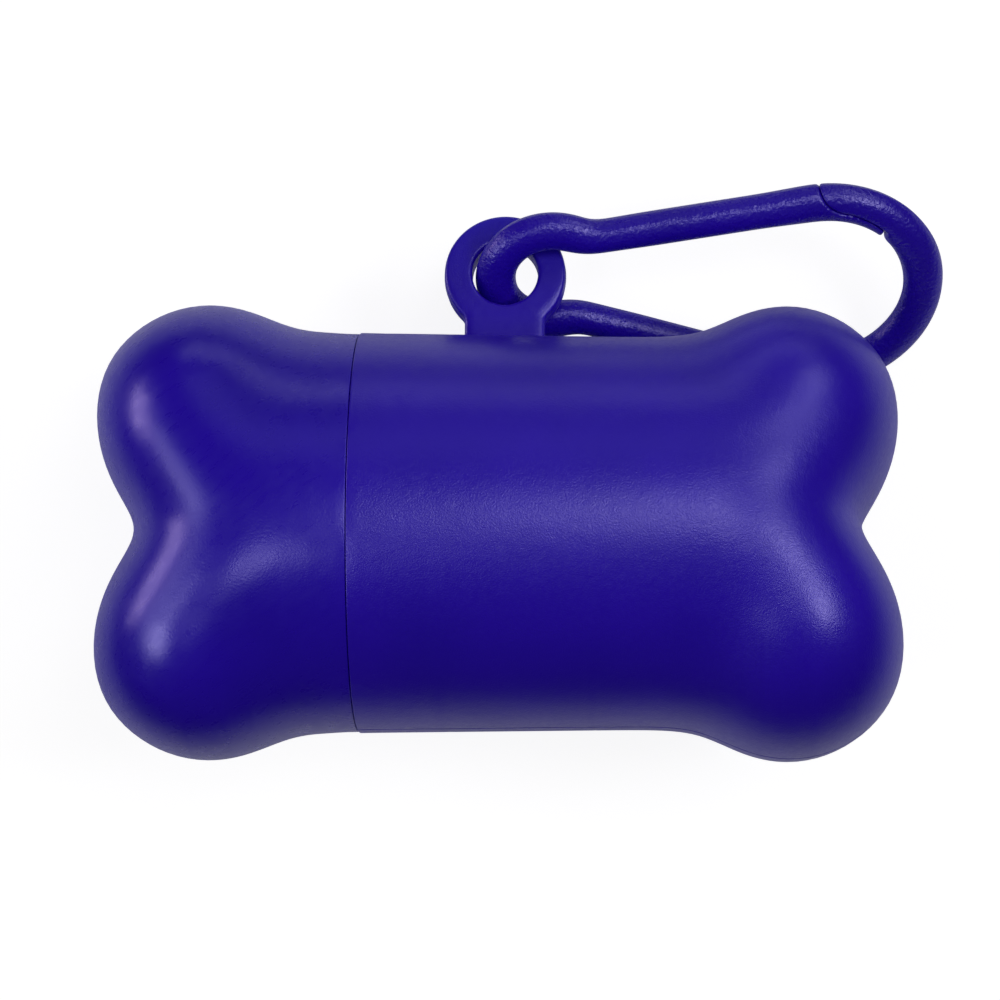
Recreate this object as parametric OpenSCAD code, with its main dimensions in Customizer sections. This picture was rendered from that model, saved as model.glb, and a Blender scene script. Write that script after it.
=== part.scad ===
// Bone-shaped dispenser for a roll of pet waste bags, with an eyelet and a spring clip.
// All sizes in millimetres.
// X runs along the bone, with the cap at -X. +Y is the eyelet's side. +Z is up.
// The dispenser lies on its back, rolled over far enough for its clip to touch the table,
// with the cap left slightly turned against the body, as such a cap often is.

/* [Bone] */
// Radius of the barrel at the seam
barrel_r = 20.3; // [19:0.1:24]
// Draft of the barrel: radius lost for each millimetre away from the seam
barrel_draft = 0.0146; // [0:0.0002:0.03]
// From the middle of the bone to where the ends of the barrel begin to turn in
barrel_end = 18; // [16:0.2:20]
// Depth of the dome that closes each end of the barrel
dome_depth = 17.67; // [16:0.01:19]
// How late the dome turns in: 2 gives an ellipse, more a dome that is flatter at first
dome_power = 2.7; // [2.4:0.1:3]
// How much farther out the dome starts for each millimetre away from the axis, across the bone
dome_notch = 0.5; // [0.3:0.05:0.6]
// From the middle of the bone to the centre of a lobe, along the bone
lobe_x = 29.22; // [28:0.01:32]
// From the axis to the centre of a lobe, across the bone
lobe_y = 11.16; // [9:0.01:13]
// Radius of a lobe along the bone
lobe_along = 10.91; // [10:0.01:13]
// Radius of a lobe across the bone
lobe_across = 11.75; // [10:0.05:13]
// Radius of a lobe through the bone's thickness
lobe_thick = 16; // [14:0.1:18]
// Softness of the blend between the lobes and the barrel
lobe_blend = 1.5; // [0.5:0.05:2]

/* [Shells] */
// Where the seam between body and cap lies along the bone
seam_x = -13.9; // [-18:0.1:-10]
// Gap between the two rims at the seam
seam_gap = 0.12; // [0.05:0.01:0.3]
// Rounding of both rims at the seam
seam_round = 0.35; // [0.2:0.05:0.6]
// Wall of the barrel at the seam
barrel_wall = 2.8; // [2.6:0.1:3.4]
// Wall of the domed and lobed ends
end_wall = 2.0; // [1.8:0.1:2.6]
// How far the body's neck reaches into the cap
neck_l = 8; // [5:0.5:12]
// Wall of the neck
neck_wall = 1.3; // [1:0.05:1.4]
// Running clearance between neck and cap, on the radius
neck_clear = 0.06; // [0.02:0.01:0.1]
// Room past the end of the neck inside the cap
neck_end_clear = 0.3; // [0.2:0.1:1]

/* [Bag slot] */
// Length of the slot that the bags are pulled through
slot_l = 26; // [20:1:34]
// Width of the slot
slot_w = 6; // [5:0.5:8]
// Place of the slot's middle along the bone
slot_x = 7; // [0:0.5:9]

/* [Eyelet] */
// Place of the eyelet along the bone
eye_x = 0.55; // [-4:0.05:4]
// Height of the eyelet's hole above the bone's axis
eye_y = 27.45; // [27:0.05:29]
// Play of the clip's rod in the eyelet's hole, on the radius
eye_play = 1.35; // [1.2:0.05:2]
// Width of the eyelet's rim
eye_rim = 2.92; // [2.5:0.02:3]
// Thickness of the eyelet's rim
eye_t = 3.0; // [2.6:0.1:3.2]
// Draft of the rim: radius lost from its middle to its faces
eye_draft = 0.12; // [0:0.02:0.3]
// Width of the foot that joins the eyelet to the barrel
foot_w = 8.3; // [7:0.1:10]
// How much the foot is thicker than the rim, on each side
foot_step = 0.15; // [0.1:0.05:0.4]
// Where the foot's top edge lies, below the eyelet's centre
foot_drop = 4.8; // [4.4:0.1:5.4]

/* [Clip] */
// Width of the clip's rod around its two bends
bend_w = 4.1; // [3.8:0.1:4.2]
// Width of the clip's two straight bars
bar_w = 3.7; // [3.5:0.1:4]
// Width of the rod at the waist, where the gate flexes
waist_w = 3.5; // [3.2:0.1:3.6]
// Thickness of the clip's rod
rod_t = 3.4; // [3:0.1:3.5]
// Play of the small loop around the eyelet's rim
loop_play = 2.15; // [2.1:0.05:2.6]
// Radius of the big bend, at the middle of the rod
bend_r = 11.0; // [10:0.1:12]
// Distance between the centres of the small loop and the big bend
clip_l = 28.5; // [27:0.5:32]
// Slope of each bar of the clip against the clip's own axis, in degrees
bar_slope = 14.3; // [13:0.1:15.5]
// Radius of the curve that leads each bar out of the small loop
waist_r = 5.4; // [4.5:0.1:6.5]
// Length over which a bar grows from the waist, and again into the bend
bar_taper = 5; // [3:0.5:8]
// Gap between the gate's lip and the nose of the frame
lip_gap = 0.15; // [0.1:0.01:0.25]
// Clearance around the round root of the gate
root_clear = 0.06; // [0.04:0.01:0.1]

/* [Roll of bags] */
// Radius of the full roll
roll_r = 14; // [10:0.5:15]
// Length of the roll
roll_l = 55; // [50:1:56]
// Where the middle of the roll lies along the bone
roll_x = 0; // [-1.5:0.1:1]
// Gap under the roll, where it lies on the walls around it
roll_gap = 0.25; // [0.1:0.05:0.3]
// Outer radius of the cardboard core
core_r = 5.1; // [4.5:0.1:7]
// Wall of the cardboard core
core_wall = 1.0; // [0.6:0.1:1.5]
// Gap between the core and the first turn of film
core_gap = 0.05; // [0.02:0.01:0.1]

/* [Resting pose] */
// Roll of the body about its axis, with the eyelet leaning towards the table, in degrees
body_roll = -14.9; // [-16:0.1:-14]
// Turn of the cap against the body, in degrees
cap_turn = 10.4; // [0:0.1:20]
// Turn of the flat clip into its place, in degrees about X, then Y, then Z
clip_turn = [40.06, 8.06, -2.15]; // [-45:0.01:45]
// Where the clip's rod passes the eyelet's hole, from the hole's centre
clip_seat = [-1.02, 0.39, 0.57]; // [-1.3:0.01:1.3]
// Middle of the whole object's box, from the middle of the bone
box_middle = [2.83, 6.42]; // [0:0.01:10]

/* [Hidden] */
$fn = 96;
// Facets around the bone, and around the clip's rod
around = 48;
rod_sides = 20;
// Halvings of the search for the bone's surface along a ray
halvings = 16;
// How far before the lobes' station the rings of the skin, and of the hollow, stand closer
skin_reach = 18;
hollow_reach = 21;
// The closer rings stay at least this far from the seam
seam_reach = 2;
// Closer rings of the skin and of the hollow, and the angle between their rings around an end
skin_rings = 12;
hollow_rings = 8;
skin_step = 7.5;
hollow_step = 10;
// Radius that rounds the middle of the notch in the dome
notch_round = 2;
// How far a cut runs past the face that it opens, so that faces never merely touch
bite = 0.5;
// How far the neck's root runs on inside the barrel's wall
neck_root = 2;
// Longer than anything that is cut through
through = 60;
shell_colour = [0.13, 0.09, 0.60];
clip_colour = [0.12, 0.08, 0.56];
card_colour = [0.72, 0.62, 0.47];
film_colour = [0.10, 0.11, 0.13];

chamber_r = barrel_r - barrel_wall;
neck_r = chamber_r + neck_wall;
bone_half = lobe_x + lobe_along;
eye_hole = bend_w / 2 + eye_play;
eye_r = eye_hole + eye_rim;
foot_from = chamber_r + barrel_wall / 2;
// The gate's lip ends lip_reach past the bend's centre, and its arc is cut from a longer one
lip_reach = 5.6;
lip_end = clip_l + lip_reach;
gate_arc_end = 40;
// The nose's step over the lip: a round notch in the rod's outer side, then an arc over the lip
notch = [clip_l + 1.4, bend_r + 3.4];
notch_r = 3.95;
lip_arc = [clip_l - 1, 0.8];
lip_arc_r = bend_r - 1.1;
lip_arc_from = clip_l + 0.4;
// Angle between the last station of one arc and the first of the next, in degrees
arc_join = 5;
loop_r = eye_t / 2 + loop_play + bend_w / 2;

// Softened distance to an ellipsoid with its centre at the origin
function to_ellipsoid(p, s) =
    let (a = [p.x / s.x, p.y / s.y, p.z / s.z],
         b = [a.x / s.x, a.y / s.y, a.z / s.z],
         k = norm(a))
    k == 0 ? -min(s) : k * (k - 1) / norm(b);

// Distance to the barrel, a slightly conical tube with domed ends that stand back in the middle
function to_barrel(p) =
    let (r = barrel_r - barrel_draft * abs(p.x - seam_x),
         start = barrel_end + dome_notch * (norm([p.y, notch_round]) - notch_round),
         along = max(abs(p.x) - start, 0) / dome_depth,
         out = norm([p.y, p.z]) / r,
         k = pow(pow(along, dome_power) + pow(out, dome_power), 1 / dome_power),
         steep = norm([pow(along, dome_power - 1) / dome_depth, pow(out, dome_power - 1) / r]))
    k == 0 ? -r : (k - 1) * pow(k, dome_power - 1) / steep;

// Distance to the pair of lobes at the end that p lies on, and to the barrel, blended
function to_bone(p) =
    let (s = [lobe_along, lobe_across, lobe_thick],
         q = [abs(p.x) - lobe_x, abs(p.y), p.z],
         near = to_ellipsoid(q - [0, lobe_y, 0], s),
         far = to_ellipsoid(q + [0, lobe_y, 0], s),
         barrel = to_barrel(p),
         least = min(near, far, barrel))
    least - lobe_blend * ln(exp((least - near) / lobe_blend)
                            + exp((least - far) / lobe_blend)
                            + exp((least - barrel) / lobe_blend));

// Distance along a ray to the surface that lies depth under the bone's skin
function reach(from, way, depth, low = 0, high = bone_half, left = halvings) =
    left == 0 ? (low + high) / 2 :
    let (mid = (low + high) / 2)
    to_bone(from + mid * way) > -depth
        ? reach(from, way, depth, low, mid, left - 1)
        : reach(from, way, depth, mid, high, left - 1);

function round_way(j) = let (a = 360 * j / around) [0, cos(a), sin(a)];

// A ring of points across the bone at x, with its radius cut back by inset
function cross_ring(x, depth, inset = 0) =
    [for (j = [0 : around - 1])
        [x, 0, 0] + (reach([x, 0, 0], round_way(j), depth) - inset) * round_way(j)];

// Evenly spaced rings from a station up to the last one before the lobes' own
function closer_rings(side, from, n, depth) =
    [for (i = [0 : n - 1]) cross_ring(from + i / n * (side * lobe_x - from), depth)];

// A ring of points on the end, at an angle from the axis, seen from the lobes' station
function end_ring(side, angle, depth) =
    [for (j = [0 : around - 1])
        let (way = [side * cos(angle), 0, 0] + sin(angle) * round_way(j))
        [side * lobe_x, 0, 0] + reach([side * lobe_x, 0, 0], way, depth) * way];

function end_point(side, depth) =
    [side * (lobe_x + reach([side * lobe_x, 0, 0], [side, 0, 0], depth)), 0, 0];

// A closed skin from a list of rings and the point that closes the last one
module skin(side, rings, tip) {
    n = len(rings);
    points = concat([for (ring = rings) each ring], [tip]);
    first = [for (j = [0 : around - 1]) j];
    walls = [for (i = [0 : n - 2], j = [0 : around - 1])
        let (k = (j + 1) % around, a = i * around, b = a + around)
        each [[a + j, b + j, b + k], [a + j, b + k, a + k]]];
    fan = [for (j = [0 : around - 1])
        [(n - 1) * around + j, n * around, (n - 1) * around + (j + 1) % around]];
    faces = concat([first], walls, fan);
    polyhedron(points, side > 0 ? faces : [for (f = faces) [for (j = [len(f) - 1 : -1 : 0]) f[j]]]);
}

// Outer skin from the seam to one end, with a rounded rim at the seam
module outer_skin(side) {
    start = seam_x + side * seam_gap / 2;
    rim = [for (t = [0, 30, 60, 90])
        cross_ring(start + side * seam_round * (1 - cos(t)), 0, seam_round * (1 - sin(t)))];
    rim_end = start + side * seam_round;
    bulge_from = side * max(lobe_x - skin_reach, side * start + seam_reach);
    barrel = [for (i = [1, 2]) cross_ring(rim_end + i / 3 * (bulge_from - rim_end), 0)];
    bulge = closer_rings(side, bulge_from, skin_rings, 0);
    end = [for (angle = [90 : -skin_step : skin_step]) end_ring(side, angle, 0)];
    skin(side, concat(rim, barrel, bulge, end), end_point(side, 0));
}

// The hollow of one end, open towards the seam and wider than the chamber there
module end_hollow(side) {
    from = side * (lobe_x - hollow_reach);
    open = [for (x = [seam_x - side * (neck_l + 2 * bite), from - side * bite])
        [for (j = [0 : around - 1]) [x, 0, 0] + barrel_r * round_way(j)]];
    bulge = closer_rings(side, from, hollow_rings, end_wall);
    end = [for (angle = [90 : -hollow_step : hollow_step]) end_ring(side, angle, end_wall)];
    skin(side, concat(open, bulge, end), end_point(side, end_wall));
}

// A round bar along X between two stations
module along_x(r, from, to) {
    translate([min(from, to), 0, 0]) rotate([0, 90, 0]) cylinder(h = abs(to - from), r = r);
}

// The round chamber for the roll, drawn straight out through the seam and coned by the ends
module chamber(side) {
    intersection() {
        along_x(chamber_r, seam_x - side * (neck_l + bite), side * bone_half);
        end_hollow(side);
    }
}

module eyelet() {
    translate([eye_x, eye_y, 0]) {
        for (m = [0, 1]) mirror([0, 0, m]) cylinder(h = eye_t / 2, r1 = eye_r, r2 = eye_r - eye_draft);
    }
    foot_t = eye_t + 2 * foot_step;
    translate([eye_x - foot_w / 2, foot_from, -foot_t / 2])
        cube([foot_w, eye_y - foot_drop - foot_from, foot_t]);
}

// The slot for the bags, through the back of the barrel
module bag_slot() {
    translate([slot_x, 0, -through]) linear_extrude(through - chamber_r / 2) {
        square([slot_l - slot_w, slot_w], center = true);
        for (s = [-1, 1]) translate([s * (slot_l - slot_w) / 2, 0]) circle(d = slot_w);
    }
}

module body_shell() {
    color(shell_colour) on_table() rotate([body_roll, 0, 0]) difference() {
        union() {
            outer_skin(1);
            along_x(neck_r, seam_x - neck_l, seam_x + neck_root);
            eyelet();
        }
        chamber(1);
        translate([eye_x, eye_y, -through / 2]) cylinder(h = through, r = eye_hole);
        bag_slot();
    }
}

module cap_shell() {
    color(shell_colour) on_table() rotate([body_roll + cap_turn, 0, 0]) difference() {
        outer_skin(-1);
        chamber(-1);
        along_x(neck_r + neck_clear, seam_x - neck_l - neck_end_clear, seam_x + bite);
    }
}

// The flat clip lies in its own XY plane, with the small loop's centre at the origin.
// Each bar runs bar_off from that centre, and starts where the waist's curve ends.
bar_off = bend_r - clip_l * sin(bar_slope);
bar_way = [cos(bar_slope), sin(bar_slope)];
bar_side = [-sin(bar_slope), cos(bar_slope)];
waist_along = sqrt(pow(loop_r + waist_r, 2) - pow(bar_off + waist_r, 2));
waist_c = bar_side * (bar_off + waist_r) + bar_way * waist_along;
root = bar_side * bar_off + bar_way * waist_along;
bar_l = clip_l * cos(bar_slope) - waist_along;
loop_end = atan2(waist_c.y, waist_c.x);

// Stations of the rod: [x, y, heading, width]. An arc's width runs evenly from one end to the other.
function arc_stations(c, r, from, to, from_w, to_w, step = 7.5) =
    let (n = ceil(abs(to - from) / step), turn = to > from ? 90 : -90)
    [for (i = [0 : n]) let (t = i / n, a = from + t * (to - from))
        [c.x + r * cos(a), c.y + r * sin(a), a + turn, from_w + t * (to_w - from_w)]];

// The inner stations of a straight bar, whose ends are the arcs' own last stations
function bar_stations(start, angle) =
    [for (along = [bar_taper, bar_l - bar_taper])
        [start.x + along * cos(angle), start.y + along * sin(angle), angle, bar_w]];

// The rod as one closed skin of oval rings
module rod(stations) {
    n = len(stations);
    points = [for (s = stations, j = [0 : rod_sides - 1])
        let (a = 360 * j / rod_sides, side = s[3] / 2 * cos(a))
        [s.x - side * sin(s.z), s.y + side * cos(s.z), rod_t / 2 * sin(a)]];
    start = [for (j = [0 : rod_sides - 1]) j];
    finish = [for (j = [rod_sides - 1 : -1 : 0]) (n - 1) * rod_sides + j];
    walls = [for (i = [0 : n - 2], j = [0 : rod_sides - 1])
        let (k = (j + 1) % rod_sides, a = i * rod_sides, b = a + rod_sides)
        each [[a + j, b + j, b + k], [a + j, b + k, a + k]]];
    polyhedron(points, concat([start], walls, [finish]));
}

// What belongs to the nose of the frame, grown by a gap: a hook over the gate's lip
module nose_side(gap) {
    translate(notch) circle(r = notch_r + gap);
    difference() {
        translate([lip_arc_from, 0]) square(2 * bend_r);
        translate(lip_arc) circle(r = lip_arc_r - gap);
    }
    translate([lip_end - 2 * gap, -bend_r / 2]) square(2 * bend_r);
}

// The stretch of the bend that the nose shares with the gate's lip
module shared_stretch() {
    translate([clip_l - bend_r, bend_r / 2]) square([bend_r + lip_reach + bite, bend_r]);
}

module flat_frame() {
    low_root = [root.x, -root.y];
    low_waist_c = [waist_c.x, -waist_c.y];
    difference() {
        rod(concat(
            arc_stations(waist_c, waist_r, 270 + bar_slope, 180 + loop_end, waist_w, bend_w),
            arc_stations([0, 0], loop_r, loop_end + arc_join, 360 - loop_end - arc_join, bend_w, bend_w),
            arc_stations(low_waist_c, waist_r, 180 - loop_end, 90 - bar_slope, bend_w, waist_w),
            bar_stations(low_root, -bar_slope),
            arc_stations([clip_l, 0], bend_r, -90 - bar_slope, 90 + bar_slope, bend_w, bend_w)));
        translate([root.x, root.y, -rod_t]) cylinder(h = 2 * rod_t, r = waist_w / 2 + root_clear);
        linear_extrude(2 * rod_t, center = true) difference() {
            shared_stretch();
            nose_side(0);
        }
    }
}

module flat_gate() {
    before_root = root - waist_w * bar_way;
    difference() {
        rod(concat(
            [[before_root.x, before_root.y, bar_slope, waist_w], [root.x, root.y, bar_slope, waist_w]],
            bar_stations(root, bar_slope),
            arc_stations([clip_l, 0], bend_r, 90 + bar_slope, gate_arc_end, bend_w, bend_w)));
        translate([root.x, root.y, -rod_t]) rotate([0, 0, bar_slope + 90]) difference() {
            translate([-rod_t, 0, 0]) cube([2 * rod_t, 2 * waist_w, 2 * rod_t]);
            cylinder(h = 2 * rod_t, r = waist_w / 2);
        }
        linear_extrude(2 * rod_t, center = true) nose_side(lip_gap);
    }
}

clip_way = [cos(clip_turn.y) * cos(clip_turn.z), cos(clip_turn.y) * sin(clip_turn.z), -sin(clip_turn.y)];
eye_place = [eye_x, eye_y * cos(body_roll), eye_y * sin(body_roll)];
module clip_in_place() {
    on_table() translate(eye_place + clip_seat + loop_r * clip_way) rotate(clip_turn) children();
}

module clip_frame() {
    color(clip_colour) clip_in_place() flat_frame();
}

module clip_gate() {
    color(clip_colour) clip_in_place() flat_gate();
}

// How far the lower edge of one end of the roll, lowered by drop, gets into the wall around it
function into_wall(side, drop) =
    let (turn = side > 0 ? body_roll : body_roll + cap_turn)
    max([for (a = [180 : 15 : 360])
        let (y = roll_r * cos(a), z = roll_r * sin(a) - drop)
        to_bone([roll_x + side * roll_l / 2, y * cos(turn) + z * sin(turn), z * cos(turn) - y * sin(turn)])
            + end_wall + roll_gap]);

// How far the roll can be lowered before either of its ends lies on a wall
function settle(low, high, left = halvings) =
    left == 0 ? low :
    let (mid = (low + high) / 2)
    max(into_wall(-1, mid), into_wall(1, mid)) > 0
        ? settle(low, mid, left - 1)
        : settle(mid, high, left - 1);
roll_drop = settle(0, chamber_r - roll_r - roll_gap);

// The roll lies as low as the chamber and the walls at its two ends let it
module roll_in_place() {
    on_table() translate([0, 0, -roll_drop]) children();
}

module roll_core() {
    color(card_colour) roll_in_place() difference() {
        along_x(core_r, roll_x - roll_l / 2, roll_x + roll_l / 2);
        along_x(core_r - core_wall, roll_x - roll_l, roll_x + roll_l);
    }
}

module bag_roll() {
    color(film_colour) roll_in_place() difference() {
        along_x(roll_r, roll_x - roll_l / 2, roll_x + roll_l / 2);
        along_x(core_r + core_gap, roll_x - roll_l, roll_x + roll_l);
    }
}

// The middle of the object's box lies over the origin, and its lowest line on the table
module on_table() {
    translate([-box_middle.x, -box_middle.y, barrel_r]) children();
}

body_shell();
cap_shell();
clip_frame();
clip_gate();
roll_core();
bag_roll();
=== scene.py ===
import math

import bpy
import numpy as np
from mathutils import Euler, Matrix, Vector


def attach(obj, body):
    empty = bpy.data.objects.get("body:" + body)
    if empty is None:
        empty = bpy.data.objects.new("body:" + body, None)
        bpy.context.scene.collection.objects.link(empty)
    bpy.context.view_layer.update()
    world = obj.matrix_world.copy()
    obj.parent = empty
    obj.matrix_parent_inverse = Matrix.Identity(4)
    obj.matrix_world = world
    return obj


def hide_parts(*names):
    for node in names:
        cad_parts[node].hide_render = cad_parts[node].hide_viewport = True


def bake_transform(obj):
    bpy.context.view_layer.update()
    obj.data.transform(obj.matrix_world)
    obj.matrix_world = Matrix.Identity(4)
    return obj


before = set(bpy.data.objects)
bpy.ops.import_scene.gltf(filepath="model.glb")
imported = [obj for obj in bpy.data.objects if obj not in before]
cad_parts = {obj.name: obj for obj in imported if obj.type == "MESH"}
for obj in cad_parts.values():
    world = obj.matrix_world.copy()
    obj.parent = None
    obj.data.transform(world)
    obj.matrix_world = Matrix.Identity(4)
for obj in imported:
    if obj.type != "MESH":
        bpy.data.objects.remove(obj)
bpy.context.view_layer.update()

# Pieces are modelled in millimetres about the bone's own axis, with the cap at -X and the
# eyelet at +Y. Each finished piece is then set down in its resting place, in metres.
MM = 0.001

# Bone
barrel_r = 20.3
barrel_draft = 0.0146
barrel_end = 18
dome_depth = 17.67
dome_power = 2.7
dome_notch, notch_round = 0.5, 2
lobe_x, lobe_y = 29.22, 11.16
lobe_size = np.array([10.91, 11.75, 16])
lobe_blend = 1.5
bone_half = lobe_x + lobe_size[0]

# Shells
seam_x = -13.9
seam_gap = 0.06
seam_round = 0.14
rim_step, rim_reach = 0.12, 4
chamber_r = barrel_r - 2.8
end_wall = 2.0
neck_l = 8
neck_r = chamber_r + 1.3
socket_r = neck_r + 0.06
socket_end = seam_x - neck_l - 0.3
neck_nose_l = 0.6
# The neck's lead-in: how far from its end, and how far inwards there
neck_nose = ((0.2, 0.12), (0, 0.4))
corner = 0.2
parting_depth = 0.09

# Bag slot
slot_l, slot_w, slot_x = 26, 6, 7
slot_edge = 0.5
slot_margin_x, slot_margin_y = 1, 0.5

# Eyelet
eye_x, eye_y = 0.55, 27.45
rod_bend_w = 4.1
eye_hole = rod_bend_w / 2 + 1.35
eye_r = eye_hole + 2.92
eye_t = 3.0
eye_draft = 0.12
eye_round = 0.45
foot_w = 8.3
foot_from = chamber_r + 1.4
foot_fillet = 1.2
foot_step, foot_drop, foot_crease = 0.055, 4.9, 0.25
foot_slope = 1.05
eye_slope_from, eye_slope_over = 0.5, 4.2
slope_fade = 3
plate_parting = 0.12

# Clip
bar_w = 3.7
waist_w = 3.5
rod_t = 3.4
loop_r = eye_t / 2 + 2.15 + rod_bend_w / 2
bend_r = 11.0
clip_l = 28.5
bar_slope = 14.3
waist_r = 5.4
bar_taper = 5
lip_end = clip_l + 5.6
notch, notch_r = (clip_l + 1.4, bend_r + 3.4), 3.95
lip_arc, lip_arc_r, lip_arc_from = (clip_l - 1, 0.8), bend_r - 1.1, clip_l + 0.4
lip_play = 0.015
lip_short = 0.4
nose_round = 0.45
lip_round = 0.38
rod_ridge, rod_ridge_half = 0.04, 0.13
path_step = 0.2
path_blend = 0.8
joint_past_root = 1.2
# Angles round the big bend: where the path begins and ends, where the nose starts to narrow, and
# where nose and lip are surely there and surely gone
path_from, path_to = 20, 125
nose_from, nose_there, nose_gone = 28, 90, 112
lip_there, lip_gone = 70, 36
# The lip starts to narrow this far before the bend
lip_from = 3

# Roll of bags
roll_r, roll_l, roll_x = 14, 55, 0
roll_drop = 1.82
core_r, core_wall = 5.1, 1.0
film_play = 0.05
film_round, film_ragged, film_flap = 0.3, 0.16, 0.12
card_round, card_ragged = 0.2, 0.03
flap_within = 0.5

# Resting pose
body_roll = -14.9
cap_turn = 10.4
clip_turn = (40.06, 8.06, -2.15)
clip_seat = Vector((-1.02, 0.39, 0.57))
box_middle = Vector((2.83, 6.42))

# Fineness of the meshes
skin_halvings, rod_halvings, tip_halvings = 26, 24, 30
parting_angles = np.array([-1.5, -0.75, -0.35, 0, 0.35, 0.75, 1.5])
parting_half = 0.4
side_from, side_points = 3.5, 74
end_step, hollow_end_step = 2.5, 4
# Rings lie closer together on the lobes, as far as these places along the bone
lobe_ring, barrel_ring = 0.6, 1.2
body_lobe_to, cap_lobe_to = 9, -17
hollow_rings, neck_rings = 24, 5
foot_points, fillet_points, ring_points, base_points = 6, 9, 50, 8
slot_end_segments = 14
rod_step, tip_rings, tip_ease = 0.3, 130, 0.02
rod_margin, least_room = 0.02, 0.1
room_points, rise_points = 165, 60
film_layers, film_columns = 34, 120
card_layers, card_columns = 6, 64
sharp_edge = 40
shell_smooth, rod_smooth, roll_smooth = 35, 60, 50

# Colours: each pair is what a surface wanders between
body_blues = (0.018, 0.0010, 0.44), (0.023, 0.0014, 0.50)
cap_blues = (0.016, 0.0008, 0.42), (0.021, 0.0012, 0.49)
clip_blues = (0.014, 0.0008, 0.36), (0.019, 0.0012, 0.43)
film_greys = (0.012, 0.014, 0.018), (0.03, 0.034, 0.042)
card_browns = (0.32, 0.22, 0.13), (0.50, 0.38, 0.25)
# Painted light: the bluer colour laid over the body towards its eyelet stands for light shining
# through the thin plastic. Also how much of it is laid over, and the Y in metres over which it comes
# in.
through_light_blue, through_light_share = (0.010, 0.004, 0.56), 0.45
through_light_from, through_light_to = 0.016, 0.026
gloss_tint = (0.58, 0.53, 1.0, 1)


def rest_matrix(roll):
    """Turns a piece about the bone's axis, sets it down on the table and goes over to metres."""
    lie = Matrix.Translation((-box_middle.x, -box_middle.y, barrel_r))
    return Matrix.Scale(MM, 4) @ lie @ Matrix.Rotation(math.radians(roll), 4, "X")


def clip_matrix():
    """Takes the flat clip, with its small loop's centre at the origin, to its place."""
    turn = Euler([math.radians(a) for a in clip_turn], "XYZ").to_matrix().to_4x4()
    eye = Matrix.Rotation(math.radians(body_roll), 3, "X") @ Vector((eye_x, eye_y, 0))
    place = eye + clip_seat + loop_r * (turn.to_3x3() @ Vector((1, 0, 0)))
    return rest_matrix(0) @ Matrix.Translation(place) @ turn


# Form of the bone
def to_ellipsoid(p, size):
    a = p / size
    b = a / size
    k = np.linalg.norm(a, axis=-1)
    return k * (k - 1) / np.maximum(np.linalg.norm(b, axis=-1), 1e-9)


def to_barrel(p):
    """Softened distance to a drafted barrel, whose domed ends stand back in the middle."""
    r = barrel_r - barrel_draft * np.abs(p[:, 0] - seam_x)
    start = barrel_end + dome_notch * (np.hypot(p[:, 1], notch_round) - notch_round)
    along = np.maximum(np.abs(p[:, 0]) - start, 0) / dome_depth
    across = np.hypot(p[:, 1], p[:, 2]) / r
    k = (along ** dome_power + across ** dome_power) ** (1 / dome_power)
    steep = np.hypot(along ** (dome_power - 1) / dome_depth, across ** (dome_power - 1) / r)
    return (k - 1) * k ** (dome_power - 1) / np.maximum(steep, 1e-30)


def to_bone(p):
    """Softened distance from points to the bone's skin: the barrel and a pair of lobes."""
    out = np.abs(p[:, 0])
    barrel = to_barrel(p)
    near = to_ellipsoid(np.stack([out - lobe_x, np.abs(p[:, 1]) - lobe_y, p[:, 2]], -1), lobe_size)
    far = to_ellipsoid(np.stack([out - lobe_x, np.abs(p[:, 1]) + lobe_y, p[:, 2]], -1), lobe_size)
    least = np.minimum(np.minimum(near, far), barrel)
    total = sum(np.exp((least - d) / lobe_blend) for d in (near, far, barrel))
    return least - lobe_blend * np.log(total)


def reach(start, ways, depth):
    """How far the skin, or the surface that lies depth under it, is from start along each way."""
    low, high = np.zeros(len(ways)), np.full(len(ways), bone_half)
    for _ in range(skin_halvings):
        mid = (low + high) / 2
        outside = to_bone(start + mid[:, None] * ways) > -depth
        low, high = np.where(outside, low, mid), np.where(outside, mid, high)
    return (low + high) / 2


def around_bone():
    """Angles round the bone, closer together at the two parting lines of the mould."""
    side = np.linspace(side_from, 180 - side_from, side_points)
    return np.radians(np.concatenate([parting_angles, side, 180 + parting_angles, 180 + side]))


bone_angles = around_bone()
bone_ways = np.stack([0 * bone_angles, np.cos(bone_angles), np.sin(bone_angles)], -1)
from_parting = np.degrees(np.abs(np.arcsin(np.sin(bone_angles))))
# 1 on a parting line, 0 away from it
on_parting = np.clip(1 - from_parting / parting_half, 0, 1)


def skin_across(x, depth=0, inset=0):
    """A ring across the bone at x. The outer skin has a fine groove along its parting lines."""
    r = reach(np.array([x, 0, 0]), bone_ways, depth) - inset
    if depth == 0:
        r = r - parting_depth * on_parting
    return np.array([x, 0, 0]) + r[:, None] * bone_ways


def skin_end(side, angle, depth=0):
    """A ring on an end, at an angle from the axis, seen from the lobes' station."""
    a = math.radians(angle)
    ways = np.array([side * math.cos(a), 0, 0]) + math.sin(a) * bone_ways
    start = np.array([side * lobe_x, 0, 0])
    r = reach(start, ways, depth)
    if depth > 0:
        r = np.minimum(r, chamber_r / math.sin(a))
    else:
        r = r - parting_depth * on_parting * math.sin(a)
    return start + r[:, None] * ways


def end_point(side, depth=0):
    start = np.array([side * lobe_x, 0, 0])
    return start + reach(start, np.array([[side, 0.0, 0.0]]), depth)[0] * np.array([side, 0, 0])


def round_ring(x, r):
    return np.array([x, 0, 0]) + r * bone_ways


def hollow_ring(x):
    r = np.minimum(reach(np.array([x, 0, 0]), bone_ways, end_wall), chamber_r)
    return np.array([x, 0, 0]) + r[:, None] * bone_ways


# Modelling steps
def deselect():
    if bpy.context.object and bpy.context.object.mode != "OBJECT":
        bpy.ops.object.mode_set(mode="OBJECT")
    bpy.ops.object.select_all(action="DESELECT")


def work_on(piece):
    deselect()
    piece.select_set(True)
    bpy.context.view_layer.objects.active = piece


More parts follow.
